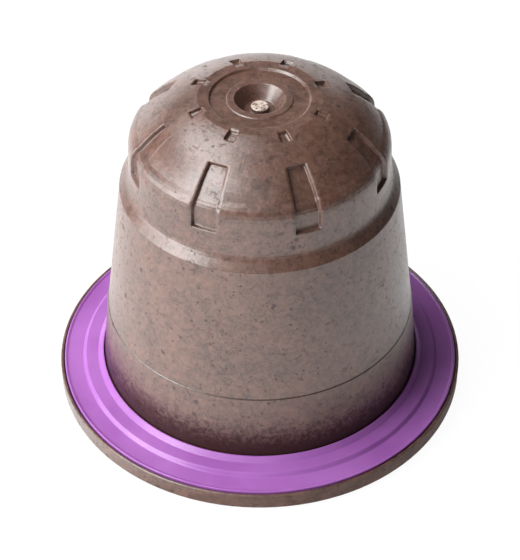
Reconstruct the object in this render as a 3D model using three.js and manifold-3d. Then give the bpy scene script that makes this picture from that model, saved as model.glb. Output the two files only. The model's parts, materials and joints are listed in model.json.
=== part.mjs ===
// A single-serve coffee pod for a capsule machine, standing dome up on its lid.
//
// Lengths are millimetres and angles degrees. +Z runs along the pod's axis from
// the lid to the dome, and the origin is the middle of the lid's lower face.
// A sealed pod has three pieces that show: the body, moulded in one from a
// coffee-husk plastic, the coloured ring that seals it in the machine's holder,
// and the lid that is heat-sealed under the flange. The pod can't be seen into,
// so the body and the coffee that fills it are one solid.

import * as THREE from 'three';
import { mergeVertices } from 'three/addons/utils/BufferGeometryUtils.js';
import Module from 'manifold-3d';

const wasm = await Module();
wasm.setup();

// The flange, which hangs in the machine's holder
const CHANNEL_WIDTH = 3.71; // from the cup's wall to the lip, where the ring lies
const FLANGE_WEB = 0.88; // from the lid to the channel's floor
const LIP_HEIGHT = 0.7; // the flange's upstanding edge, over the channel floor
const LIP_WIDTH = 0.27;
const LIP_ROUND = 0.1;
const HEEL_ROUND = 0.22; // the flange's lower outer edge

// The cup's wall, in two drafts that meet at a witness line of the mould
const CUP_DIAMETER = 29.04; // where the wall leaves the channel floor
const CUP_FOOT_FILLET = 0.25;
const SKIRT_HEIGHT = 7.56;
const SKIRT_DRAFT = 5.65;
const WITNESS_STEP = 0.07; // the wall above the line is this much slimmer
const WALL_HEIGHT = 12.92;
const WALL_DRAFT = 7.15;

// The ledge under the dome, where the machine's cage takes hold
const LEDGE_WIDTH = 0.8;
const LEDGE_HEIGHT = 0.98;
const LEDGE_ROUND = 0.14;
const DOME_FOOT_FILLET = 1.3;

// The dome: a drafted wall, a rounded shoulder and a crowned slope
const DOME_WALL_HEIGHT = 4.3;
const DOME_DRAFT = 3;
const SHOULDER_ROUND = 1.7;
const CROWN_HEIGHT = 3.54;
const CROWN_BULGE = 0.5; // how far the slope rises over a straight line
const PLATEAU_DIAMETER = 10.4;

// The plateau's sunk disc, and the dimple in its middle with the gate mark
const DISC_DIAMETER = 8.5;
const DISC_DEPTH = 0.2;
const DISC_WALL_RUN = 0.14; // the slant of the disc's edge, seen from above
const COLLAR_DIAMETER = 5.7; // the low swelling round the dimple's mouth
const COLLAR_HEIGHT = 0.08;
const COLLAR_RUN = 0.22;
const DIMPLE_DIAMETER = 4.3;
const DIMPLE_FLOOR_DIAMETER = 2.7;
const DIMPLE_DEPTH = 1.15;
const DIMPLE_ROUND = 0.12;
const GATE_DIAMETER = 1.44;
const GATE_HEIGHT = 0.84;

// Eight spokes run down the dome: a small pocket, then a long groove
const SPOKE_COUNT = 8;
const FIRST_SPOKE_ANGLE = 22.5; // from the front, which is -Y
const POCKET_START = 0.15; // inside the plateau's edge
const POCKET_END = 0.9; // outside the plateau's edge
const POCKET_ANGLE_WIDTH = 8.6;
const POCKET_DEPTH = 0.28;
const GROOVE_START = 3.18; // outside the plateau's edge
const GROOVE_END = 2.6; // above the ledge
const GROOVE_ANGLE_WIDTH = 11;
const GROOVE_DEPTH = 0.36;
const CUTTER_MARGIN = 0.8; // how far a cutter stands out of the surface

// The sealing ring, which lies in the flange's channel round the cup
const RING_CLEARANCE = 0.1; // to the cup's wall and to the lip
const RING_LAND_HEIGHT = 0.75; // the outer land, over the channel floor
const RING_BEAD_WIDTH = 0.3;
const RING_BEAD_HEIGHT = 0.1; // over the outer land
const RING_OUTER_LAND = 1.42;
const RING_STEP_WIDTH = 0.28;
const RING_STEP_HEIGHT = 0.32;
const RING_COLLAR_HEIGHT = 0.38; // over the inner land
const RING_COLLAR_TOP = 0.12;
const RING_COLLAR_RUN = 0.42;
const RING_SOFT_EDGE = 0.08;

// The lid, a disc of paper laminate sealed to the flange's lower face
const LID_THICKNESS = 0.12;
const LID_INSET = 0.45; // from the flange's edge to the lid's
const LID_EDGE_ROUND = 0.04;

// How finely round forms are divided
const TURN_SEGMENTS = 72;
const CHORD_ERROR = 0.01; // how far an arc's straight steps may cut inside it
const CROWN_STEPS = 8;
const ROUND_SHARE = 0.48; // the most of a straight side that one round may take
const MERGE_DISTANCE = 1e-4;

const toRadians = THREE.MathUtils.degToRad;
const draftLoss = (height, draft) => height * Math.tan(toRadians(draft));
const corner = (r, z, round = 0) => ({ at: new THREE.Vector2(r, z), round });

// Heights and radii that follow from the sizes above
const channelFloor = LID_THICKNESS + FLANGE_WEB;
const lipTop = channelFloor + LIP_HEIGHT;
const witnessHeight = channelFloor + SKIRT_HEIGHT;
const ledgeFoot = witnessHeight + WALL_HEIGHT;
const ledgeTop = ledgeFoot + LEDGE_HEIGHT;
const shoulderHeight = ledgeTop + DOME_WALL_HEIGHT;
const plateauHeight = shoulderHeight + CROWN_HEIGHT;

const cupRadius = CUP_DIAMETER / 2;
const channelRadius = cupRadius + CHANNEL_WIDTH;
const flangeRadius = channelRadius + LIP_WIDTH;
const witnessRadius = cupRadius - draftLoss(SKIRT_HEIGHT, SKIRT_DRAFT);
const wallFootRadius = witnessRadius - WITNESS_STEP;
const ledgeRadius = wallFootRadius - draftLoss(WALL_HEIGHT, WALL_DRAFT);
const domeRadius = ledgeRadius - LEDGE_WIDTH;
const shoulderRadius = domeRadius - draftLoss(DOME_WALL_HEIGHT, DOME_DRAFT);
const plateauRadius = PLATEAU_DIAMETER / 2;

// Replaces each corner that has a round by an arc that touches both its sides.
function rounded(corners) {
  const line = [];
  corners.forEach(({ at, round }, i) => {
    if (round === 0) {
      line.push(at);
      return;
    }
    const before = corners[(i + corners.length - 1) % corners.length].at;
    const after = corners[(i + 1) % corners.length].at;
    const back = before.clone().sub(at);
    const ahead = after.clone().sub(at);
    const room = ROUND_SHARE * Math.min(back.length(), ahead.length());
    back.normalize();
    ahead.normalize();
    const half = Math.acos(THREE.MathUtils.clamp(back.dot(ahead), -1, 1)) / 2;
    const reach = Math.min(round / Math.tan(half), room);
    const radius = reach * Math.tan(half);
    const middle = back.clone().add(ahead).setLength(radius / Math.sin(half)).add(at);
    const from = at.clone().addScaledVector(back, reach).sub(middle);
    const to = at.clone().addScaledVector(ahead, reach).sub(middle);
    const sweep = Math.atan2(from.cross(to), from.dot(to));
    const widest = 2 * Math.acos(1 - CHORD_ERROR / radius);
    const steps = Math.max(2, Math.ceil(Math.abs(sweep) / widest));
    const centre = new THREE.Vector2();
    for (let step = 0; step <= steps; step++) {
      line.push(from.clone().rotateAround(centre, (sweep * step) / steps).add(middle));
    }
  });
  return line;
}

// A crowned line: straight from start to end, raised by bulge at its middle.
function crowned(start, end, bulge, steps) {
  const along = end.clone().sub(start);
  const rise = new THREE.Vector2(along.y, -along.x).normalize();
  const line = [];
  for (let step = 1; step < steps; step++) {
    const t = step / steps;
    line.push(start.clone().addScaledVector(along, t).addScaledVector(rise, 4 * bulge * t * (1 - t)));
  }
  return line;
}

// The dome's outer line, from the plateau's inner edge down to the ledge's slope.
function domeLine() {
  const plateauEdge = new THREE.Vector2(plateauRadius, plateauHeight);
  const ledge = corner(ledgeRadius, ledgeFoot);
  const foot = corner(domeRadius, ledgeTop, DOME_FOOT_FILLET);
  const shoulder = corner(shoulderRadius, shoulderHeight, SHOULDER_ROUND);
  const bends = rounded([ledge, foot, shoulder, corner(plateauRadius, plateauHeight)]).slice(1, -1);
  const slope = crowned(bends.at(-1), plateauEdge, CROWN_BULGE, CROWN_STEPS);
  const discEdge = new THREE.Vector2(DISC_DIAMETER / 2, plateauHeight);
  return [...bends, ...slope, plateauEdge, discEdge].reverse();
}

// The body's whole outline, from the middle of its lower face round to the gate.
function bodyOutline() {
  const discFloor = plateauHeight - DISC_DEPTH;
  const mouthHeight = discFloor + COLLAR_HEIGHT;
  const dimpleFloor = mouthHeight - DIMPLE_DEPTH;
  const gateTop = dimpleFloor + GATE_HEIGHT;
  const collarRadius = COLLAR_DIAMETER / 2;
  const base = rounded([
    corner(0, LID_THICKNESS),
    corner(flangeRadius, LID_THICKNESS, HEEL_ROUND),
    corner(flangeRadius, lipTop, LIP_ROUND),
    corner(channelRadius, lipTop, LIP_ROUND),
    corner(channelRadius, channelFloor),
    corner(cupRadius, channelFloor, CUP_FOOT_FILLET),
    corner(witnessRadius, witnessHeight),
    corner(wallFootRadius, witnessHeight + WITNESS_STEP),
    corner(ledgeRadius, ledgeFoot, LEDGE_ROUND),
    corner(domeRadius, ledgeTop),
  ]).slice(0, -1);
  const dome = domeLine().reverse();
  const middle = rounded([
    corner(DISC_DIAMETER / 2, plateauHeight),
    corner(DISC_DIAMETER / 2 - DISC_WALL_RUN, discFloor),
    corner(collarRadius, discFloor),
    corner(collarRadius - COLLAR_RUN, mouthHeight),
    corner(DIMPLE_DIAMETER / 2, mouthHeight, DIMPLE_ROUND),
    corner(DIMPLE_FLOOR_DIAMETER / 2, dimpleFloor, DIMPLE_ROUND),
    corner(GATE_DIAMETER / 2, dimpleFloor),
    corner(GATE_DIAMETER / 2, gateTop),
    corner(0, gateTop),
  ]).slice(1);
  return [...base, ...dome, ...middle];
}

// The ring's closed outline, counter-clockwise from its inner lower corner.
function ringOutline() {
  const wallAt = (z) => cupRadius - draftLoss(z - channelFloor, SKIRT_DRAFT) + RING_CLEARANCE;
  const outerRadius = channelRadius - RING_CLEARANCE;
  const outerLand = channelFloor + RING_LAND_HEIGHT;
  const innerLand = outerLand + RING_STEP_HEIGHT;
  const collarTop = innerLand + RING_COLLAR_HEIGHT;
  const beadInner = outerRadius - RING_BEAD_WIDTH;
  const stepFoot = beadInner - RING_OUTER_LAND;
  const collarEdge = wallAt(collarTop) + RING_COLLAR_TOP;
  return rounded([
    corner(wallAt(channelFloor) + CUP_FOOT_FILLET, channelFloor),
    corner(outerRadius, channelFloor),
    corner(outerRadius, outerLand + RING_BEAD_HEIGHT, RING_SOFT_EDGE),
    corner(outerRadius - RING_BEAD_WIDTH / 2, outerLand + RING_BEAD_HEIGHT, RING_SOFT_EDGE),
    corner(beadInner, outerLand),
    corner(stepFoot, outerLand, RING_SOFT_EDGE),
    corner(stepFoot - RING_STEP_WIDTH, innerLand, RING_SOFT_EDGE),
    corner(collarEdge + RING_COLLAR_RUN, innerLand, RING_SOFT_EDGE),
    corner(collarEdge, collarTop, RING_SOFT_EDGE),
    corner(wallAt(collarTop), collarTop),
    corner(wallAt(channelFloor + CUP_FOOT_FILLET), channelFloor + CUP_FOOT_FILLET),
  ]);
}

// The lid's outline, from the middle of its lower face to the middle of its upper.
function lidOutline() {
  const lidRadius = flangeRadius - LID_INSET;
  return rounded([
    corner(0, 0),
    corner(lidRadius, 0, LID_EDGE_ROUND),
    corner(lidRadius, LID_THICKNESS),
    corner(0, LID_THICKNESS),
  ]);
}

// Keeps only position, joins shared vertices and drops triangles without area.
function closed(geometry) {
  const bare = geometry.clone();
  bare.deleteAttribute('normal');
  bare.deleteAttribute('uv');
  const merged = mergeVertices(bare, MERGE_DISTANCE);
  const corners = merged.index.array;
  const kept = [];
  for (let i = 0; i < corners.length; i += 3) {
    const [a, b, c] = corners.slice(i, i + 3);
    if (a !== b && b !== c && c !== a) kept.push(a, b, c);
  }
  merged.setIndex(kept);
  return merged;
}

// Turns an outline about the pod's axis. A closed ring comes back to its start.
function turned(outline, isRing = false) {
  const line = isRing ? [...outline, outline[0]] : outline;
  const geometry = new THREE.LatheGeometry(line, TURN_SEGMENTS);
  return closed(geometry.rotateX(Math.PI / 2));
}

const toSolid = (geometry) => {
  const { index, attributes } = closed(geometry);
  return new wasm.Manifold(new wasm.Mesh({
    numProp: 3,
    vertProperties: new Float32Array(attributes.position.array),
    triVerts: new Uint32Array(index.array),
  }));
};

const toGeometry = (solid) => {
  const { numProp, vertProperties, triVerts } = solid.getMesh();
  const geometry = new THREE.BufferGeometry();
  geometry.setAttribute('position', new THREE.BufferAttribute(vertProperties, numProp));
  geometry.setIndex(new THREE.BufferAttribute(triVerts, 1));
  geometry.computeVertexNormals();
  return geometry;
};

// The stretch of a line between two distances along it.
function stretch(line, from, to) {
  const part = [];
  let run = 0;
  for (let i = 1; i < line.length; i++) {
    const length = line[i].distanceTo(line[i - 1]);
    const cutAt = (s) => line[i - 1].clone().lerp(line[i], (s - run) / length);
    if (from >= run && from < run + length) part.push(cutAt(from));
    if (to > run && to <= run + length) part.push(cutAt(to));
    else if (run + length > from && run + length < to) part.push(line[i]);
    run += length;
  }
  return part;
}

// A line moved sideways along its own normals, outwards where by is positive.
function offset(line, by) {
  return line.map((point, i) => {
    const before = line[Math.max(i - 1, 0)];
    const after = line[Math.min(i + 1, line.length - 1)];
    const along = after.clone().sub(before).normalize();
    return point.clone().add(new THREE.Vector2(-along.y, along.x).multiplyScalar(by));
  });
}

// A sector of a disc as tall as the pod, centred on an angle from the front.
function wedge(angle, width) {
  const half = toRadians(width / 2);
  const reach = flangeRadius;
  const sector = new THREE.Shape([
    new THREE.Vector2(0, 0),
    new THREE.Vector2(-reach * Math.sin(half), -reach * Math.cos(half)),
    new THREE.Vector2(reach * Math.sin(half), -reach * Math.cos(half)),
  ]);
  const depth = plateauHeight + CUTTER_MARGIN;
  const geometry = new THREE.ExtrudeGeometry(sector, { depth, bevelEnabled: false });
  return toSolid(geometry.rotateZ(toRadians(angle)));
}

// A ring-shaped cutter that follows the dome from one distance to another.
function domeBand(from, to, depth) {
  const surface = stretch(domeLine(), from, to);
  const band = [...offset(surface, -depth), ...offset(surface, CUTTER_MARGIN).reverse()];
  return toSolid(turned(band, true));
}

// Distances along the dome's line, from the disc's edge over the plateau.
const plateauEdgeRun = plateauRadius - DISC_DIAMETER / 2;
const domeRun = domeLine().reduce((sum, p, i, line) => sum + (i ? p.distanceTo(line[i - 1]) : 0), 0);

function makeBody() {
  const pockets = domeBand(plateauEdgeRun - POCKET_START, plateauEdgeRun + POCKET_END, POCKET_DEPTH);
  const grooves = domeBand(plateauEdgeRun + GROOVE_START, domeRun - GROOVE_END, GROOVE_DEPTH);
  let body = toSolid(turned(bodyOutline()));
  for (let spoke = 0; spoke < SPOKE_COUNT; spoke++) {
    const angle = FIRST_SPOKE_ANGLE + (360 / SPOKE_COUNT) * spoke;
    body = body.subtract(pockets.intersect(wedge(angle, POCKET_ANGLE_WIDTH)));
    body = body.subtract(grooves.intersect(wedge(angle, GROOVE_ANGLE_WIDTH)));
  }
  return toGeometry(body);
}

const piece = (name, geometry, finish) => {
  const mesh = new THREE.Mesh(geometry, new THREE.MeshStandardMaterial(finish));
  mesh.name = name;
  return mesh;
};

const pod = new THREE.Group();
const huskPlastic = { color: 0x7d675c, roughness: 0.5, metalness: 0 };
const ringPlastic = { color: 0x9b4fb5, roughness: 0.35, metalness: 0 };
const lidPaper = { color: 0xcdbfa8, roughness: 0.8, metalness: 0 };
pod.add(piece('pod_body', makeBody(), huskPlastic));
pod.add(piece('sealing_ring', turned(ringOutline(), true), ringPlastic));
pod.add(piece('lid', turned(lidOutline()), lidPaper));

export default pod;
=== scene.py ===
# %% [markdown]
# # A coffee pod, standing dome up
#
# A single-serve espresso pod is a small turned thing: a cup that narrows
# upwards, a domed nose with eight spokes pressed into it, and a flange with a
# coloured ring. Nearly all of its surface is a line that was spun round one
# axis. This lesson draws each line once, spins it as whole arrays, presses the
# spokes in as a height, and then spends its care on the two plastics.
#
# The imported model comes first. It gives the size and the nodes, and each new
# piece takes the place of one of them.

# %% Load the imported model
import json
import math
import bpy
import numpy as np
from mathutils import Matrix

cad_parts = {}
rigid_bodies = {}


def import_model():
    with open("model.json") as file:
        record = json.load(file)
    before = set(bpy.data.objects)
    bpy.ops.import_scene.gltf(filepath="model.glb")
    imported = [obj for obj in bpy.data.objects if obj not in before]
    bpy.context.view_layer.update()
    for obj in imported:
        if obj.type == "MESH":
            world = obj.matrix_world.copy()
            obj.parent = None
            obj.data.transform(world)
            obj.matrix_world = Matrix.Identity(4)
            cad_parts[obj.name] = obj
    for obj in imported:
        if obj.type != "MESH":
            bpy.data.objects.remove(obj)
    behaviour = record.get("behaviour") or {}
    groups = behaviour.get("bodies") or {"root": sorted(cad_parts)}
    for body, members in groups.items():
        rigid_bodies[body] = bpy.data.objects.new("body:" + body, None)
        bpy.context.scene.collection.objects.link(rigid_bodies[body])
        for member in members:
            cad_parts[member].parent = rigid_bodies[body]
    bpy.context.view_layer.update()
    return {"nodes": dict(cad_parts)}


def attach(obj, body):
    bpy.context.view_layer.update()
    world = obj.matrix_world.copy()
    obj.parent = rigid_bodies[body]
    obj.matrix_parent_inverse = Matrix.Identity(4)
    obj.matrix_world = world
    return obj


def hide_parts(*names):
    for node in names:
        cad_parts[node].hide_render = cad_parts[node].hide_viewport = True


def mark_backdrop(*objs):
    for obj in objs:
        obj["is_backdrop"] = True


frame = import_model()
print("nodes:", sorted(frame["nodes"]))

# %% [markdown]
# ## Lines, rounds and rows
#
# The lines are written in millimetres, as corners with a radius each, which is
# how a toolmaker would draw them. A hard corner would catch no light, so every
# corner gets its arc here. The grid over such a line needs rows just beside
# each arc too: without them the smooth shading would spread the bend over the
# whole flat next to it.

# %% Rounding the corners of a line
MM = 0.001
ARC_STEP = math.radians(13)
LEAST_ARC_STEPS = 3
SIDE_SHARE = 0.48


def rounded_line(corners, loop=False):
    """Corners (r, z, radius) become a line, where an arc that touches both sides replaces each corner.

    The arc's centre lies on the corner's bisector, at radius / sin(half the corner's angle).
    An arc takes no more than SIDE_SHARE of the shorter side, so two arcs never meet.
    """
    spots = np.array([c[:2] for c in corners], float)
    line = []
    for i, (_, _, radius) in enumerate(corners):
        at = spots[i]
        ends = not loop and i in (0, len(corners) - 1)
        if radius == 0 or ends:
            line.append(at[None])
            continue
        back = spots[i - 1] - at
        ahead = spots[(i + 1) % len(spots)] - at
        room = SIDE_SHARE * min(np.hypot(*back), np.hypot(*ahead))
        back, ahead = back / np.hypot(*back), ahead / np.hypot(*ahead)
        half = math.acos(np.clip(back @ ahead, -1, 1)) / 2
        reach = min(radius / math.tan(half), room)
        size = reach * math.tan(half)
        bisector = (back + ahead) / np.hypot(*(back + ahead))
        centre = at + bisector * size / math.sin(half)
        start, end = at + back * reach - centre, at + ahead * reach - centre
        sweep = math.atan2(start[0] * end[1] - start[1] * end[0], start @ end)
        turn = np.linspace(0, sweep, max(LEAST_ARC_STEPS, math.ceil(abs(sweep) / ARC_STEP)) + 1)
        line.append(centre + np.outer(np.cos(turn), start) + np.outer(np.sin(turn), [-start[1], start[0]]))
    return np.concatenate(line)


def runs_of(line):
    """The distance along a line of each of its points."""
    return np.concatenate([[0], np.cumsum(np.hypot(*np.diff(line, axis=0).T))])


trial = rounded_line([(0, 0, 0), (10, 0, 2), (10, 10, 0)])
print("a corner with a round of 2:", len(trial), "points,", round(runs_of(trial)[-1], 2), "long")

# %% [markdown]
# ## From a grid to a mesh
#
# Every piece of the pod is a grid of points: rows follow the line, columns go
# round the axis. The columns always close on themselves. The rows either start
# and end on the axis, where one point closes them, or close on themselves, as
# on the ring.

# %% Spinning and closing a grid


def round_axis(step):
    """Angles every step degrees, once round the axis."""
    return np.radians(np.arange(0, 360, step))


def spun(r, z, angle):
    """Points (row, column, xyz): r sin(angle), -r cos(angle), z, so that angle 0 is the front, -Y."""
    return np.stack([r * np.sin(angle), -r * np.cos(angle), z + 0 * angle], axis=-1) * MM


def grid_piece(name, points, ring=False):
    """A closed mesh from a grid. Each square joins row i and i + 1 at column j and j + 1.

    With ring, the last row joins the first. Otherwise the first and last rows are one point each,
    and triangles close the grid there.
    """
    rows, columns = points.shape[:2]
    if ring:
        vertices = points.reshape(-1, 3)
        low = np.arange(rows * columns).reshape(rows, columns)
        high = np.roll(low, -1, axis=0)
        caps = []
    else:
        vertices = np.concatenate([points[:1, 0], points[1:-1].reshape(-1, 3), points[-1:, 0]])
        index = 1 + np.arange((rows - 2) * columns).reshape(rows - 2, columns)
        low, high = index[:-1], index[1:]
        first, last = np.zeros(columns, int), np.full(columns, len(vertices) - 1)
        caps = np.stack([np.roll(low[0], -1), low[0], first], -1).tolist()
        caps += np.stack([np.roll(high[-1], -1), last, high[-1]], -1).tolist()
    squares = np.stack([np.roll(low, -1, axis=1), np.roll(high, -1, axis=1), high, low], -1)
    mesh = bpy.data.meshes.new(name)
    mesh.from_pydata(vertices.tolist(), [], squares.reshape(-1, 4).tolist() + caps)
    mesh.validate()
    mesh.shade_smooth()
    piece = bpy.data.objects.new(name, mesh)
    bpy.context.scene.collection.objects.link(piece)
    return piece


print("10 mm out at the front and 5 mm up, in metres:", spun(10, 5, 0))

# %% [markdown]
# ## The body's line
#
# The body runs from the middle of its lower face, out under the flange, up the
# flange's thin lip, down into the channel that holds the ring, and then up the
# cup. The cup has two drafts that meet at a faint witness line of the mould.
# Above it come the ledge, the dome's wall, its shoulder and a crowned slope to
# the small plateau. In the plateau's middle are a sunk disc, a low rim, the
# dimple inside it and the end of the gate.

# %% Sizes of the body, in millimetres
LID = 0.12
CHANNEL = 1.00
LIP_TOP = 1.70
FLANGE_R, CHANNEL_R = 18.50, 18.23
CUP_R = 14.52
WITNESS_R, WITNESS_Z = 13.772, 8.56
ABOVE_WITNESS_R, WITNESS_STEP = 13.702, 0.07
LEDGE_R, LEDGE_Z = 12.081, 21.48
DOME_R, DOME_Z = 11.281, 22.46
SHOULDER_R, SHOULDER_Z = 11.056, 26.76
PLATEAU_R, TOP = 5.20, 30.30
CROWN_BULGE, CROWN_STEPS = 0.5, 16
DISC_R, DISC_Z, DISC_SLANT = 4.25, 30.10, 0.14
RIM_R, RIM_TOP_R, RIM_TOP = 2.82, 2.73, 30.18
DIMPLE_R, DIMPLE_FLOOR_R, DIMPLE_Z = 2.15, 1.35, 29.03
GATE_R, GATE_Z = 0.76, 29.47
print("flange:", 2 * FLANGE_R, "mm wide, top:", TOP, "mm high")

# %% Draw the body's line


def crowned(start, end, bulge, steps):
    """A straight line from start to end, raised sideways by bulge * 4 t (1 - t), without its two ends."""
    start, end = np.array(start), np.array(end)
    t = np.linspace(0, 1, steps + 1)[1:-1, None]
    along = end - start
    rise = np.array([along[1], -along[0]]) / np.hypot(*along)
    return start + along * t + rise * 4 * bulge * t * (1 - t)


def body_line():
    """The body's whole line, (r, z), from the middle of the lower face to the middle of the gate's end.

    Each corner is (r, z, radius of its round). The slope from the shoulder to the plateau is crowned.
    """
    lower = rounded_line([
        (0, LID, 0), (FLANGE_R, LID, 0.22),
        (FLANGE_R, LIP_TOP, 0.1), (CHANNEL_R, LIP_TOP, 0.1),
        (CHANNEL_R, CHANNEL, 0.05), (CUP_R, CHANNEL, 0.25),
        (WITNESS_R, WITNESS_Z, 0.04), (ABOVE_WITNESS_R, WITNESS_Z + WITNESS_STEP, 0.04),
        (LEDGE_R, LEDGE_Z, 0.16), (DOME_R, DOME_Z, 1.3),
        (SHOULDER_R, SHOULDER_Z, 1.7), (PLATEAU_R, TOP, 0),
    ])
    bend, plateau = lower[-2], lower[-1]
    slope = crowned(bend, plateau, CROWN_BULGE, CROWN_STEPS)
    top = rounded_line([
        tuple(slope[-1]) + (0,), (PLATEAU_R, TOP, 0.25),
        (DISC_R, TOP, 0.1), (DISC_R - DISC_SLANT, DISC_Z, 0.05),
        (RIM_R, DISC_Z, 0.03), (RIM_TOP_R, RIM_TOP, 0.05),
        (DIMPLE_R, RIM_TOP, 0.1), (DIMPLE_FLOOR_R, DIMPLE_Z, 0.15),
        (GATE_R, DIMPLE_Z, 0.05), (GATE_R, GATE_Z, 0.12), (0, GATE_Z, 0),
    ])
    return np.concatenate([lower[:-1], slope, top[1:]])


body = body_line()
body_runs = runs_of(body)
print("body line:", len(body), "points,", round(body_runs[-1], 2), "mm long")

# %% [markdown]
# ## The spokes as a height
#
# On the real pod the mould has eight ribs and eight small studs, which leave
# long grooves and short pockets. Cutting them with booleans would leave rough
# edges. Here they are a depth that depends on two things: how far along the
# line a point is, and how far round it is from a spoke. The depth is taken
# along the surface's own normal, so the floor follows the dome.

# %% Where the grooves and pockets are
SPOKE_STEP = 45
SPOKES = np.radians(SPOKE_STEP * (0.5 + np.arange(360 // SPOKE_STEP)))
GROOVE_LOW_Z, GROOVE_HIGH_R = 24.55, 8.16
GROOVE_DEPTH, GROOVE_HALF = 0.36, math.radians(5.5)
POCKET_LOW_R, POCKET_HIGH_R = 6.05, 5.05
POCKET_DEPTH, POCKET_HALF = 0.28, math.radians(4.3)


def run_at_radius(radius):
    """How far along the body's line the dome reaches a radius."""
    dome = body[:, 1] > LEDGE_Z
    order = np.argsort(body[dome, 0])
    return np.interp(radius, body[dome, 0][order], body_runs[dome][order])


def run_at_height(height):
    """How far along the line the dome reaches a height, below its plateau."""
    side = (body[:, 1] > DOME_Z) & (body[:, 0] > PLATEAU_R)
    return np.interp(height, body[side, 1], body_runs[side])


GROOVE = (run_at_height(GROOVE_LOW_Z), run_at_radius(GROOVE_HIGH_R), GROOVE_DEPTH, GROOVE_HALF)
POCKET = (run_at_radius(POCKET_LOW_R), run_at_radius(POCKET_HIGH_R), POCKET_DEPTH, POCKET_HALF)
print("a groove is", round(GROOVE[1] - GROOVE[0], 2), "mm long, a pocket", round(POCKET[1] - POCKET[0], 2))

# %% The pressed-in depth
EDGE_TURN = math.radians(0.35)
EDGE_RUN = 0.06


def eased(value):
    """0 below 0, 1 above 1, and 3 t^2 - 2 t^3 between."""
    t = np.clip(value, 0, 1)
    return t * t * (3 - 2 * t)


def inside(value, low, high, edge):
    """1 between low and high, 0 outside, with an eased step as wide as edge to each side of both limits."""
    return eased((value - low + edge) / (2 * edge)) * eased((high + edge - value) / (2 * edge))


def spoke_depth(runs, angles):
    """The depth of grooves and pockets: the product of a step along the line and a step round the axis."""
    between = math.radians(SPOKE_STEP)
    turn = np.abs((angles - SPOKES[0] + between / 2) % between - between / 2)
    depth = 0
    for start, end, deep, half in (GROOVE, POCKET):
        across = eased((half + EDGE_TURN - turn) / (2 * EDGE_TURN))
        depth = depth + deep * inside(runs, start, end, EDGE_RUN) * across
    return depth


print("deepest:", round(float(spoke_depth((GROOVE[0] + GROOVE[1]) / 2, SPOKES[0])), 2), "mm")

# %% [markdown]
# What makes the edges crisp is where the grid has its rows and columns. They
# crowd at the ends and sides of each groove and pocket and beside each arc, and
# elsewhere they are far apart. Rows that come too close to each other are left
# out, because they would only make thin slivers.

# %% Rows and columns of the body
EDGE_STEPS = np.array([-1.1, -0.6, -0.2, 0.2, 0.6, 1.1])
BODY_ROW_STEP, BODY_BESIDE_ARC, BODY_LEAST_ROW = 0.7, 0.05, 0.015
BODY_COLUMN_STEP, BODY_LEAST_COLUMN = 3, 0.05
AXIS_ROOM = 0.01


def thinned(values, least):
    """Sorted values, with one kept from each cell that is least wide."""
    values = np.unique(values)
    cells = np.floor(values / least)
    first = np.concatenate([[True], np.diff(cells) > 0])
    return values[first]


def beside_arcs(runs, away):
    """Places a little way into each straight stretch from both its ends, where an arc stops.

    A stretch counts as straight where it is longer than 4 * away.
    """
    straight = np.diff(runs) > 4 * away
    return np.concatenate([runs[:-1][straight] + away, runs[1:][straight] - away])


def rows_along(runs, step, away, least, extra=()):
    """Rows at every step, at each point of the line, close beside each arc and at extra places."""
    rows = np.concatenate([np.arange(0, runs[-1], step), runs, beside_arcs(runs, away), extra])
    return thinned(np.clip(rows, 0, runs[-1]), least)


def body_rows():
    """Rows that crowd at the ends of a groove and a pocket, and stop on the axis."""
    ends = np.array([GROOVE[0], GROOVE[1], POCKET[0], POCKET[1]])
    edges = (ends[:, None] + EDGE_RUN * EDGE_STEPS).ravel()
    rows = rows_along(body_runs, BODY_ROW_STEP, BODY_BESIDE_ARC, BODY_LEAST_ROW, edges)
    return np.concatenate([rows[rows < body_runs[-1] - AXIS_ROOM], body_runs[-1:]])


def body_columns():
    """Columns all round, and six across each side of a groove and a pocket."""
    halves = np.array([-GROOVE_HALF, GROOVE_HALF, -POCKET_HALF, POCKET_HALF])
    sides = SPOKES[:, None, None] + halves[:, None] + EDGE_TURN * EDGE_STEPS
    plain = round_axis(BODY_COLUMN_STEP)
    return thinned(np.concatenate([plain, sides.ravel() % (2 * math.pi)]), math.radians(BODY_LEAST_COLUMN))


print("body:", len(body_rows()), "rows by", len(body_columns()), "columns")

# %% Press the spokes in and build the body
SLOPE_STEP = 0.02


def body_at(runs):
    """The body's r and z at distances along its line."""
    return np.interp(runs, body_runs, body[:, 0]), np.interp(runs, body_runs, body[:, 1])


def build_body():
    """Points on the line at each row, moved inwards along the line's normal by the spoke's depth.

    The normal is the slope between two points SLOPE_STEP before and after, turned by a quarter.
    """
    rows, angles = body_rows(), body_columns()
    r, z = body_at(rows)
    r_before, z_before = body_at(rows - SLOPE_STEP)
    r_after, z_after = body_at(rows + SLOPE_STEP)
    slope_r, slope_z = r_after - r_before, z_after - z_before
    length = np.maximum(np.hypot(slope_r, slope_z), 1e-9)
    normal_r, normal_z = slope_z / length, -slope_r / length
    depth = spoke_depth(rows[:, None], angles[None])
    return grid_piece("pod_body_skin", spun(r[:, None] - normal_r[:, None] * depth,
                                            z[:, None] - normal_z[:, None] * depth, angles[None]))


pod_body = build_body()
print("body:", len(pod_body.data.polygons), "faces")

# %% [markdown]
# ## The sealing ring
#
# The ring is a separate moulding of softer plastic that seals the pod in the
# machine. Its section has a collar against the cup, a flat land, a step down to
# a wider land, and a small bead at the outer edge. It is the same idea as the
# body, but its line closes on itself.

# %% Draw the ring's section
RING_GAP = 0.1
RING_TOE = 0.25
COLLAR_TOP, COLLAR_TOP_R, COLLAR_FOOT_R = 2.45, 14.6, 15.02
INNER_LAND_Z, STEP_TOP_R = 2.07, 16.13
OUTER_LAND_Z, STEP_FOOT_R = 1.75, 16.41
BEAD_TOP, BEAD_FLAT, BEAD_FOOT = 1.85, 0.15, 0.3


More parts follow.
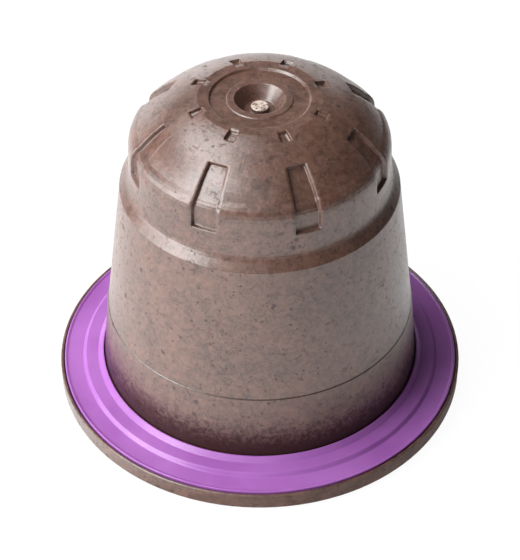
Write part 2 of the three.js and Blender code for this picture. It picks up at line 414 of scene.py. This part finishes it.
def beside_cup(z):
    """The cup's wall at a height below the witness line, a straight line in r and z, plus the gap."""
    return CUP_R + (WITNESS_R - CUP_R) * (z - CHANNEL) / (WITNESS_Z - CHANNEL) + RING_GAP


def ring_line():
    """The ring's section, counter-clockwise from its inner lower corner and back to it."""
    outer = CHANNEL_R - RING_GAP
    toe_z = CHANNEL + RING_TOE
    line = rounded_line([
        (beside_cup(CHANNEL) + RING_TOE, CHANNEL, 0.03), (outer, CHANNEL, 0.05),
        (outer, BEAD_TOP, 0.09), (outer - BEAD_FLAT, BEAD_TOP, 0.09),
        (outer - BEAD_FOOT, OUTER_LAND_Z, 0.08), (STEP_FOOT_R, OUTER_LAND_Z, 0.1),
        (STEP_TOP_R, INNER_LAND_Z, 0.1), (COLLAR_FOOT_R, INNER_LAND_Z, 0.1),
        (COLLAR_TOP_R, COLLAR_TOP, 0.1), (beside_cup(COLLAR_TOP), COLLAR_TOP, 0.03),
        (beside_cup(toe_z), toe_z, 0.05),
    ], loop=True)
    return np.concatenate([line, line[:1]])


print("ring section:", len(ring_line()), "points,", round(runs_of(ring_line())[-1], 2), "mm round")

# %% Build the sealing ring
RING_ROW_STEP, RING_BESIDE_ARC, RING_LEAST_ROW = 0.3, 0.04, 0.012
RING_COLUMN_STEP = 1.25


def build_ring():
    """The closed section, with rows beside each arc, carried round the axis."""
    line = ring_line()
    runs = runs_of(line)
    rows = rows_along(runs, RING_ROW_STEP, RING_BESIDE_ARC, RING_LEAST_ROW)
    rows = rows[rows < runs[-1] - RING_LEAST_ROW]
    angles = round_axis(RING_COLUMN_STEP)[None]
    r = np.interp(rows, runs, line[:, 0])[:, None]
    z = np.interp(rows, runs, line[:, 1])[:, None]
    return grid_piece("sealing_ring_skin", spun(r + 0 * angles, z, angles), ring=True)


ring = build_ring()
print("ring:", len(ring.data.polygons), "faces")

# %% [markdown]
# ## The lid
#
# Under the pod a disc of paper laminate is heat-sealed to the flange. The hot
# tool presses its band a little deeper than the rest, and the free middle is
# drawn up slightly as the pod cools. Both are a small height added to a flat
# disc, so the lid is a line too, from the middle of its lower face out and
# back to the middle of its upper face.

# %% Build the lid
LID_R, LID_EDGE_FROM = 18.05, 17.9
MIDDLE_R, MIDDLE_RISE = 14.0, 0.05
BAND_FROM, BAND_TO, BAND_EDGE, BAND_RISE = 14.9, 17.6, 0.12, 0.03
LID_ROW_STEP, LID_FINE_STEP, LID_COLUMN_STEP = 0.5, 0.1, 2.0


def build_lid():
    """A flat disc. Its lower face rises by BAND_RISE over the seal band, with an eased step at each side.

    Inside the band it rises by MIDDLE_RISE * (1 - (r / MIDDLE_R)^2).
    """
    under = np.concatenate([np.arange(0, MIDDLE_R, LID_ROW_STEP),
                            np.arange(MIDDLE_R, LID_EDGE_FROM, LID_FINE_STEP)])
    band = BAND_RISE * inside(under, BAND_FROM, BAND_TO, BAND_EDGE)
    drawn = MIDDLE_RISE * np.clip(1 - (under / MIDDLE_R) ** 2, 0, 1)
    lower = np.stack([under, band + drawn], -1)
    edge = rounded_line([(LID_EDGE_FROM, 0, 0), (LID_R, 0, 0.04),
                         (LID_R, LID, 0.02), (LID_EDGE_FROM, LID, 0)])
    upper = np.array([[MIDDLE_R, LID], [MIDDLE_R / 2, LID], [0, LID]])
    line = np.concatenate([lower, edge, upper])
    angles = round_axis(LID_COLUMN_STEP)[None]
    return grid_piece("lid_skin", spun(line[:, :1] + 0 * angles, line[:, 1:], angles))


lid = build_lid()
print("lid:", len(lid.data.polygons), "faces")

# %% Let each piece stand for its node
for piece, node, slot in ((pod_body, "pod_body", "husk_plastic"),
                          (ring, "sealing_ring", "ring_plastic"),
                          (lid, "lid", "lid_paper")):
    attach(piece, "root")
    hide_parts(node)
    print(piece.name, "stands for", node)

# %% [markdown]
# ## Small tools for materials
#
# A procedural material is a graph of small nodes. These helpers make a node
# and link its inputs in one line, so that each material below reads as a list
# of what the eye sees. All patterns read Object coordinates, in metres: a
# scale of 1000 gives features about a millimetre across.

# %% Make and link a node


def new_material(name):
    """An empty material with its Principled shader."""
    material = bpy.data.materials.new(name)
    material.use_nodes = True
    tree = material.node_tree
    return material, tree, tree.nodes["Principled BSDF"]


def node(tree, kind, settings=None, **inputs):
    """Makes a node. A socket given as an input is linked, and a value is set.

    An input is named by its label, or by i and its number.
    """
    made = tree.nodes.new(kind)
    for key, value in (settings or {}).items():
        setattr(made, key, value)
    for key, value in inputs.items():
        socket = made.inputs[int(key[1:])] if key[0] == "i" and key[1:].isdigit() else made.inputs[key]
        if isinstance(value, bpy.types.NodeSocket):
            tree.links.new(value, socket)
        else:
            socket.default_value = value
    return made


def place(tree, stretch=(1, 1, 1), shift=(0, 0, 0)):
    """Object coordinates, moved and stretched."""
    where = tree.nodes.new("ShaderNodeTexCoord").outputs["Object"]
    return node(tree, "ShaderNodeMapping", Vector=where, Scale=stretch, Location=shift).outputs[0]


def axis_value(tree, axis):
    """One of the three Object coordinates, in metres: 0 is x and 2 is the height z."""
    return node(tree, "ShaderNodeSeparateXYZ", Vector=place(tree)).outputs[axis]


def from_axis(tree):
    """The distance from the pod's axis, the length of (x, y, 0)."""
    return node(tree, "ShaderNodeVectorMath", {"operation": "LENGTH"},
                i0=place(tree, stretch=(1, 1, 0))).outputs["Value"]


print("placing:", [f.__name__ for f in (new_material, node, place, axis_value, from_axis)])

# %% Patterns, sums and mixes


def noise(tree, where, scale, detail, rough, twist=0.0):
    """A noise value about 0.5, with features about 1 / scale metres across."""
    return node(tree, "ShaderNodeTexNoise", Vector=where, Scale=scale, Detail=detail,
                Roughness=rough, Distortion=twist).outputs["Fac"]


def spread(tree, value, low, high, out_low=0.0, out_high=1.0):
    """Maps low..high of a value to out_low..out_high in an eased step, held at both ends."""
    return node(tree, "ShaderNodeMapRange", {"interpolation_type": "SMOOTHSTEP"},
                i0=value, i1=low, i2=high, i3=out_low, i4=out_high).outputs[0]


def spread_mm(tree, value, low, high, out_low=0.0, out_high=1.0):
    """The same for a distance, with its two limits in millimetres."""
    return spread(tree, value, low * MM, high * MM, out_low, out_high)


def calc(tree, how, a, b=0.0):
    """One step of arithmetic."""
    return node(tree, "ShaderNodeMath", {"operation": how}, i0=a, i1=b).outputs[0]


def mixed(tree, amount, first, second):
    """Two colours mixed: none of the second at amount 0, and only the second at 1."""
    return node(tree, "ShaderNodeMix", {"data_type": "RGBA"}, i0=amount, i6=first, i7=second).outputs[2]


def bumped(tree, height, distance, strength, below=None):
    """A normal bent by a height, in metres, over another bend where one is given."""
    made = node(tree, "ShaderNodeBump", Height=height, Distance=distance, Strength=strength)
    if below is not None:
        tree.links.new(below, made.inputs["Normal"])
    return made.outputs[0]


print("shading:", [f.__name__ for f in (noise, spread, spread_mm, calc, mixed, bumped)])

# %% [markdown]
# ## Coffee-husk plastic
#
# The shell is moulded from plastic filled with ground coffee husk. It isn't one
# brown: there are clouds of lighter and redder filler a few millimetres across,
# mottling about a millimetre and half a millimetre across, short curled fibres,
# and dark grounds the size of a pin's point. The skin is satin, a little rougher where the filler
# comes to the surface, and it has a fine grain.
#
# The fibres use a trick: a noise crosses one half along thin curled lines, so
# the places where it is nearly one half are lines. A second noise hides most of
# them, and what is left are short strokes.

# %% Strokes and grounds
KEEP_SCALE, KEEP_EDGE = 1.9, 0.08
SHAKE_SCALE, SHAKE_REACH = 2.5, 0.35
DOT_CORE = 0.55


def strokes(tree, here, scale, width, cut):
    """1 on thin curled lines, where a noise is within width of 0.5, and where a second noise is above cut."""
    bend = noise(tree, here, scale=scale, detail=2, rough=0.5, twist=0.6)
    away = calc(tree, "ABSOLUTE", calc(tree, "SUBTRACT", bend, 0.5))
    keep = noise(tree, here, scale=KEEP_SCALE * scale, detail=1, rough=0.5)
    return calc(tree, "MULTIPLY", spread(tree, away, 0.0, width, 1.0, 0.0),
                spread(tree, keep, cut, cut + KEEP_EDGE))


def grounds(tree, here, scale, size, share):
    """1 inside small uneven dots: the distance to a cell's point is below size, in a share of the cells.

    The coordinates are shaken by a noise first, so that the dots aren't round.
    """
    shake = node(tree, "ShaderNodeTexNoise", Vector=here, Scale=SHAKE_SCALE * scale,
                 Detail=1.0).outputs["Color"]
    shift = node(tree, "ShaderNodeVectorMath", {"operation": "SCALE"}, i0=shake,
                 Scale=SHAKE_REACH / scale).outputs[0]
    bent = node(tree, "ShaderNodeVectorMath", {"operation": "ADD"}, i0=here, i1=shift).outputs[0]
    cells = node(tree, "ShaderNodeTexVoronoi", Vector=bent, Scale=scale)
    dot = spread(tree, cells.outputs["Distance"], DOT_CORE * size, size, 1.0, 0.0)
    pick = node(tree, "ShaderNodeSeparateColor", i0=cells.outputs["Color"]).outputs[0]
    return calc(tree, "MULTIPLY", dot, calc(tree, "LESS_THAN", pick, share))


print("husk patterns:", [f.__name__ for f in (strokes, grounds)])

# %% [markdown]
# Three things depend on the place and not on a pattern. In the dimple the gate
# was cut off, so its end is torn: pale, matt and crumbly. The foot of the cup
# is painted nearly black and mirrors little, with a ragged upper edge: this is
# painted shade, in place of the shadowed floor that the foot mirrors. The
# witness line is a small real step round the cup, just above the bend between
# the drafts; its thin dark line is painted shade that deepens the dark the
# step catches.

# %% The gate, the foot and the witness line
GATE_INNER, GATE_OUTER = GATE_R + 0.02, GATE_R + 0.06
GATE_LOW, GATE_HIGH = GATE_Z - 0.14, GATE_Z - 0.06
# The foot's limits and strength place a painted shade: the cup's foot darkened in place of the shadowed floor
# it mirrors.
FOOT_LOW, FOOT_HIGH, FOOT_RAGGED = 3.0, 6.8, 1.0
FOOT_INNER, FOOT_OUTER, FOOT_PAINTED_SHADE = CUP_R + 0.4, CUP_R + 1, 0.96
# The witness line's dark colour is painted shade, deepening the dark that its small step catches.
SEAM_Z, SEAM_CORE, SEAM_HALF, SEAM_PAINTED_SHADE = WITNESS_Z + 0.02, 0.05, 0.1, 0.7


def gate_mask(tree):
    """1 where r is below the gate's radius and z is just below its end, or above."""
    near = spread_mm(tree, from_axis(tree), GATE_INNER, GATE_OUTER, 1.0, 0.0)
    return calc(tree, "MULTIPLY", near, spread_mm(tree, axis_value(tree, 2), GATE_LOW, GATE_HIGH))


def painted_foot_shade(tree, fine):
    """The painted shade of the cup's foot: at its full amount below FOOT_LOW and 0 above FOOT_HIGH, on the
    cup only. The fine pattern moves the limits.
    """
    ragged = calc(tree, "MULTIPLY", calc(tree, "SUBTRACT", fine, 0.5), FOOT_RAGGED * MM)
    level = calc(tree, "ADD", axis_value(tree, 2), ragged)
    return calc(tree, "MULTIPLY", spread_mm(tree, level, FOOT_LOW, FOOT_HIGH, FOOT_PAINTED_SHADE, 0.0),
                spread_mm(tree, from_axis(tree), FOOT_INNER, FOOT_OUTER, 1.0, 0.0))


def painted_seam_shade(tree):
    """The painted shade of the witness line: its full amount within SEAM_CORE of the line's height, and 0
    past SEAM_HALF.
    """
    away = calc(tree, "ABSOLUTE", calc(tree, "SUBTRACT", axis_value(tree, 2), SEAM_Z * MM))
    return spread_mm(tree, away, SEAM_CORE, SEAM_HALF, SEAM_PAINTED_SHADE, 0.0)


print("the foot is dark up to", FOOT_LOW, "mm, and the witness line is at", round(SEAM_Z, 2), "mm")

# %% The husk's brown
HUSK_DARK = (0.030, 0.012, 0.008, 1)
HUSK_PALE = (0.180, 0.092, 0.066, 1)
HUSK_RED = (0.140, 0.046, 0.032, 1)
HUSK_DUST = (0.22, 0.13, 0.105, 1)
FIBRE_AND_SHADE_BROWN = (0.030, 0.012, 0.009, 1)
HUSK_GROUND = (0.016, 0.006, 0.006, 1)
CLOUD_SHARE, MOTTLE_SHARE, FINE_SHARE = 0.22, 0.34, 0.36
RED_SHARE, FIBRE_SHARE, GROUND_SHARE, DUST_SHARE = 0.3, 0.5, 0.8, 0.22


def husk_brown(tree, here, mottle, fine):
    """From dark to pale by 0.22 clouds + 0.34 mottling + 0.36 fine pattern, with redder patches over it."""
    clouds = spread(tree, noise(tree, here, scale=190, detail=4, rough=0.55), 0.3, 0.7)
    tone = calc(tree, "ADD", calc(tree, "MULTIPLY", clouds, CLOUD_SHARE),
                calc(tree, "MULTIPLY", mottle, MOTTLE_SHARE))
    tone = calc(tree, "ADD", tone, calc(tree, "MULTIPLY", fine, FINE_SHARE))
    patches = noise(tree, place(tree, shift=(0.2, 0.1, 0)), scale=420, detail=3, rough=0.6, twist=0.8)
    return mixed(tree, spread(tree, patches, 0.54, 0.72, 0.0, RED_SHARE),
                 mixed(tree, tone, HUSK_DARK, HUSK_PALE), HUSK_RED)


def husk_fibres(tree, here):
    """Long thin strokes and short ones, whichever is stronger."""
    return calc(tree, "MAXIMUM", strokes(tree, here, scale=560, width=0.018, cut=0.5),
                strokes(tree, place(tree, shift=(0.3, 0, 0.1)), scale=950, width=0.026, cut=0.52))


def husk_grounds(tree, here):
    """Small dots and larger, rarer ones."""
    return calc(tree, "MAXIMUM", grounds(tree, here, scale=1700, size=0.27, share=0.2),
                grounds(tree, place(tree, shift=(0, 0.2, 0.3)), scale=620, size=0.2, share=0.22))


print("husk colours from", HUSK_DARK[:3], "to", HUSK_PALE[:3])

# %% Build the husk plastic
HUSK_SHINE, BARE_SHINE, FOOT_SHINE = 1.0, 0.8, 0.2
HUSK_ROUGH, ROUGH_SWING, BARE_ROUGH = 0.32, 0.03, 0.2
GATE_PALE = (0.66, 0.53, 0.46, 1)
GATE_DARK = (0.13, 0.07, 0.055, 1)


def husk_plastic():
    """The brown with fibres, grounds and dust, then the painted shade of the foot and of the witness line,
    and the gate over it.

    The shine is a little less on fibres, grounds and the gate, and much less at the foot, as part of
    its painted shade. The roughness follows the mottling and is more on the same spots. The normal
    follows the mottling, the grain and the gate's crumbs.
    """
    material, tree, shader = new_material("husk_plastic")
    here = place(tree)
    mottle = spread(tree, noise(tree, here, scale=800, detail=6, rough=0.68, twist=0.5), 0.32, 0.68)
    fine = spread(tree, noise(tree, here, scale=2100, detail=4, rough=0.7, twist=0.6), 0.35, 0.65)
    grain = noise(tree, here, scale=4200, detail=3, rough=0.7)
    crumbs = spread(tree, noise(tree, here, scale=2600, detail=3, rough=0.6), 0.36, 0.52)
    fibres, dots = husk_fibres(tree, here), husk_grounds(tree, here)
    foot, gate = painted_foot_shade(tree, fine), gate_mask(tree)

    base = husk_brown(tree, here, mottle, fine)
    base = mixed(tree, calc(tree, "MULTIPLY", fibres, FIBRE_SHARE), base, FIBRE_AND_SHADE_BROWN)
    base = mixed(tree, calc(tree, "MULTIPLY", dots, GROUND_SHARE), base, HUSK_GROUND)
    base = mixed(tree, spread(tree, grain, 0.3, 0.7, 0.0, DUST_SHARE), base, HUSK_DUST)
    # painted shade: the cup's foot darkened to the fibre brown, in place of the shadowed floor it mirrors
    base = mixed(tree, foot, base, FIBRE_AND_SHADE_BROWN)
    # painted shade: the witness line darkened to the fibre brown
    base = mixed(tree, painted_seam_shade(tree), base, FIBRE_AND_SHADE_BROWN)
    base = mixed(tree, gate, base, mixed(tree, crumbs, GATE_DARK, GATE_PALE))
    tree.links.new(base, shader.inputs["Base Color"])

    bare = calc(tree, "MAXIMUM", calc(tree, "MAXIMUM", dots, fibres), gate)
    # the shine at the foot is cut as part of its painted shade
    shine = calc(tree, "MULTIPLY", spread(tree, bare, 0, 1, HUSK_SHINE, BARE_SHINE * HUSK_SHINE),
                 spread(tree, foot, 0, 1, 1.0, FOOT_SHINE))
    tree.links.new(shine, shader.inputs["Specular IOR Level"])
    rough = spread(tree, mottle, 0, 1, HUSK_ROUGH - ROUGH_SWING, HUSK_ROUGH + ROUGH_SWING)
    rough = calc(tree, "ADD", rough, calc(tree, "MULTIPLY", bare, BARE_ROUGH))
    tree.links.new(rough, shader.inputs["Roughness"])

    normal = bumped(tree, mottle, distance=0.00002, strength=0.5)
    normal = bumped(tree, grain, distance=0.00001, strength=0.6, below=normal)
    torn = calc(tree, "MULTIPLY", crumbs, gate)
    normal = bumped(tree, torn, distance=0.00008, strength=0.8, below=normal)
    tree.links.new(normal, shader.inputs["Normal"])
    return material


husk = husk_plastic()
pod_body.data.materials.append(husk)
print("husk plastic:", len(husk.node_tree.nodes), "nodes")

# %% [markdown]
# ## Ring plastic and lid paper
#
# The ring is a clean, dyed plastic with a satin gloss. Its colour changes only
# slowly and a little, and a fine grain breaks up the edges of its highlights.
# The lid is unbleached paper: fibres in two directions, a few darker ones, and
# a matt face.

# %% Build the ring plastic
RING_DEEP = (0.295, 0.092, 0.362, 1)
RING_BRIGHT = (0.365, 0.132, 0.445, 1)
RING_SMOOTHEST, RING_ROUGHEST = 0.28, 0.36


def ring_plastic():
    """Orchid purple with slow clouds, and a fine grain in the roughness and the normal."""
    material, tree, shader = new_material("ring_plastic")
    here = place(tree)
    clouds = spread(tree, noise(tree, here, scale=150, detail=3, rough=0.5), 0.3, 0.7)
    fine = noise(tree, here, scale=2400, detail=3, rough=0.6)
    tree.links.new(mixed(tree, clouds, RING_DEEP, RING_BRIGHT), shader.inputs["Base Color"])
    tree.links.new(spread(tree, fine, 0.3, 0.7, RING_SMOOTHEST, RING_ROUGHEST), shader.inputs["Roughness"])
    tree.links.new(bumped(tree, fine, distance=0.000006, strength=0.5), shader.inputs["Normal"])
    return material


purple = ring_plastic()
ring.data.materials.append(purple)
print("ring plastic:", len(purple.node_tree.nodes), "nodes")

# %% Build the lid paper
PAPER_TAN = (0.53, 0.42, 0.30, 1)
PAPER_LIGHT = (0.62, 0.51, 0.38, 1)
PALE_FIBRE = (0.72, 0.62, 0.49, 1)
DARK_FIBRE = (0.33, 0.24, 0.16, 1)
PAPER_ROUGH = 0.78
FIBRE_SCALE = 900


def lid_paper():
    """Tan paper: two layers of stretched noise for the fibres, over slow clouds."""
    material, tree, shader = new_material("lid_paper")
    clouds = spread(tree, noise(tree, place(tree), scale=220, detail=4, rough=0.6), 0.3, 0.7)
    along = noise(tree, place(tree, stretch=(1, 7, 1)), scale=FIBRE_SCALE, detail=3, rough=0.6, twist=0.5)
    across = noise(tree, place(tree, stretch=(7, 1, 1), shift=(0.2, 0, 0)), scale=FIBRE_SCALE,
                   detail=3, rough=0.6, twist=0.5)
    fibres = calc(tree, "MAXIMUM", along, across)
    base = mixed(tree, clouds, PAPER_TAN, PAPER_LIGHT)
    base = mixed(tree, spread(tree, fibres, 0.5, 0.75, 0.0, 0.5), base, PALE_FIBRE)
    base = mixed(tree, spread(tree, along, 0.25, 0.36, 0.45, 0.0), base, DARK_FIBRE)
    tree.links.new(base, shader.inputs["Base Color"])
    shader.inputs["Roughness"].default_value = PAPER_ROUGH
    tree.links.new(bumped(tree, fibres, distance=0.00003, strength=0.6), shader.inputs["Normal"])
    return material


paper = lid_paper()
lid.data.materials.append(paper)
print("lid paper:", len(paper.node_tree.nodes), "nodes")

# %% [markdown]
# ## Floor, light and camera
#
# The photograph is cut out on white, so the floor is nearly plain white to the
# camera and takes only a faint shadow. The pod mirrors the floor as much as it
# mirrors the lamps, so the floor has a second brightness for mirrored views. It
# is dim close round the pod, where the real one would lie in the pod's shadow,
# brightest on the window's side and dim again at the far right.

# %% The floor
FLOOR_HALF, FLOOR_BELOW, FLOOR_COLOUR, FLOOR_ROUGH = 3.0, 0.00005, (0.8, 0.8, 0.8, 1), 0.9
FLOOR_MIRRORED, FLOOR_SHADED, FLOOR_GLOW, FLOOR_WHITE = 1.12, 0.22, 0.42, 0.92
FLOOR_LEFT, FLOOR_FAR_RIGHT = 1.55, 0.3
LEFT_X, RIGHT_X, FAR_RIGHT_X = -0.03, 0.03, 0.12
SHADOW_MIDDLE, SHADOW_FROM, SHADOW_TO = (0.004, -0.004, 0), 0.0165, 0.021
WHITE = (1, 1, 1, 1)


def mirrored_level(tree):
    """Dim within SHADOW_FROM of a point at the front right, times a fall from the left to the right."""
    far = node(tree, "ShaderNodeVectorMath", {"operation": "DISTANCE"}, i0=place(tree),
               i1=SHADOW_MIDDLE).outputs["Value"]
    level = spread(tree, far, SHADOW_FROM, SHADOW_TO, FLOOR_SHADED, FLOOR_MIRRORED)
    x = axis_value(tree, 0)
    level = calc(tree, "MULTIPLY", level, spread(tree, x, LEFT_X, RIGHT_X, FLOOR_LEFT, 1.0))
    return calc(tree, "MULTIPLY", level, spread(tree, x, RIGHT_X, FAR_RIGHT_X, 1.0, FLOOR_FAR_RIGHT))


def floor_finish():
    """Mostly plain white to the camera, its own level when mirrored, and pale and glowing as light."""
    material, tree, shader = new_material("floor_white")
    shader.inputs["Base Color"].default_value = FLOOR_COLOUR
    shader.inputs["Roughness"].default_value = FLOOR_ROUGH
    white = node(tree, "ShaderNodeEmission", Color=WHITE, Strength=1.0)
    mirrored = node(tree, "ShaderNodeEmission", Color=WHITE, Strength=mirrored_level(tree))
    glow = node(tree, "ShaderNodeEmission", Color=WHITE, Strength=FLOOR_GLOW)
    lit = node(tree, "ShaderNodeAddShader", i0=shader.outputs[0], i1=glow.outputs[0])
    ray = tree.nodes.new("ShaderNodeLightPath")
    both = node(tree, "ShaderNodeMixShader", i0=ray.outputs["Is Glossy Ray"], i1=lit.outputs[0],
                i2=mirrored.outputs[0])
    share = calc(tree, "MULTIPLY", ray.outputs["Is Camera Ray"], FLOOR_WHITE)
    both = node(tree, "ShaderNodeMixShader", i0=share, i1=both.outputs[0], i2=white.outputs[0])
    tree.links.new(both.outputs[0], tree.nodes["Material Output"].inputs["Surface"])
    return material


def white_floor():
    """A square just below the lid's lower face."""
    mesh = bpy.data.meshes.new("floor")
    sides = ((-1, -1), (1, -1), (1, 1), (-1, 1))
    corners = [(x * FLOOR_HALF, y * FLOOR_HALF, -FLOOR_BELOW) for x, y in sides]
    mesh.from_pydata(corners, [], [(0, 1, 2, 3)])
    mesh.materials.append(floor_finish())
    floor = bpy.data.objects.new("floor", mesh)
    bpy.context.scene.collection.objects.link(floor)
    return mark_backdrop(floor)


white_floor()
print("floor:", 2 * FLOOR_HALF, "m wide")

# %% The world
WORLD_LIGHT = 0.03


def white_world():
    """White where the camera sees it, and very dim as light on the pod."""
    world = bpy.data.worlds.new("studio")
    bpy.context.scene.world = world
    world.use_nodes = True
    tree = world.node_tree
    tree.nodes.clear()
    ray = tree.nodes.new("ShaderNodeLightPath")
    dim = node(tree, "ShaderNodeBackground", Color=WHITE, Strength=WORLD_LIGHT)
    white = node(tree, "ShaderNodeBackground", Color=WHITE, Strength=1.0)
    both = node(tree, "ShaderNodeMixShader", i0=ray.outputs["Is Camera Ray"],
                i1=dim.outputs[0], i2=white.outputs[0])
    out = tree.nodes.new("ShaderNodeOutputWorld")
    tree.links.new(both.outputs[0], out.inputs["Surface"])


white_world()
print("world light:", WORLD_LIGHT)

# %% [markdown]
# The long soft streaks on the left of the cup and dome come from a window, so
# the strongest lamp is tall and stands at the front left. A high and a low lamp
# further to the left widen it. Two faint, wide ones behind the pod stand in for
# a pale wall, and a faint one lifts the front slope. The right side has no
# lamp, so it falls off to dark.

# %% Lamps
from mathutils import Matrix, Vector

LAMP_AWAY = 0.5
LAMP_AIM = Vector((0, 0, 0.014))
LAMPS = (
    ("tall window", -60, 35, (0.25, 0.6), 3.8),
    ("high window", -115, 60, (0.3, 0.3), 1.7),
    ("low window", -86, 12, (0.25, 0.2), 0.9),
    ("back wall", -150, 9, (0.35, 0.16), 0.35),
    ("far wall", 178, 12, (0.35, 0.16), 0.3),
    ("front", -20, 50, (0.35, 0.25), 0.33),
)


def towards(azimuth, elevation):
    """The unit vector (sin a cos e, -cos a cos e, sin e). Azimuth 0 is the front, 90 degrees the right."""
    return Vector((math.sin(azimuth) * math.cos(elevation),
                   -math.cos(azimuth) * math.cos(elevation), math.sin(elevation)))


def soft_lamp(name, azimuth, elevation, size, power):
    """A rectangular lamp LAMP_AWAY from the pod, facing it, with its angles in degrees."""
    way = towards(math.radians(azimuth), math.radians(elevation))
    lamp = bpy.data.lights.new(name, "AREA")
    lamp.shape = "RECTANGLE"
    lamp.size, lamp.size_y = size
    lamp.energy = power
    stand = bpy.data.objects.new(name, lamp)
    stand.location = LAMP_AIM + way * LAMP_AWAY
    stand.rotation_euler = way.to_track_quat("Z", "Y").to_euler()
    bpy.context.scene.collection.objects.link(stand)


for lamp in LAMPS:
    soft_lamp(*lamp)

# %% [markdown]
# The camera was found from the photograph: the pod's circles are ellipses in
# it, and how flat they are at each height gives the angle and the distance. It
# stands upright, a little to the right of the front, and looks down at 42 degrees.

# %% The photograph's camera
LOOK_AT = Vector((0, 0, 0.0143))
CAMERA_TURN = math.radians(1.7)
CAMERA_LIFT = math.radians(41.81)
CAMERA_AWAY = 0.15793
SIDEWAYS, UPWARDS = -0.00001, 0.003189
PIXELS_FOCAL, PIXELS_HIGH = 1781.75, 560
SENSOR_HEIGHT = 36

back = towards(CAMERA_TURN, CAMERA_LIFT)
right = Vector((math.cos(CAMERA_TURN), math.sin(CAMERA_TURN), 0))
up = back.cross(right)
lens = bpy.data.cameras.new("camera")
lens.sensor_fit = "VERTICAL"
lens.sensor_height = SENSOR_HEIGHT
lens.lens = PIXELS_FOCAL * SENSOR_HEIGHT / PIXELS_HIGH
lens.clip_start = 0.01
camera = bpy.data.objects.new("camera", lens)
spot = LOOK_AT + back * CAMERA_AWAY - right * SIDEWAYS - up * UPWARDS
camera.matrix_world = Matrix((
    (right.x, up.x, back.x, spot.x), (right.y, up.y, back.y, spot.y),
    (right.z, up.z, back.z, spot.z), (0, 0, 0, 1)))
bpy.context.scene.collection.objects.link(camera)
bpy.context.scene.camera = camera
bpy.context.scene.view_settings.view_transform = "Standard"
print("lens", round(lens.lens, 1), "mm, camera at", [round(v, 4) for v in spot])
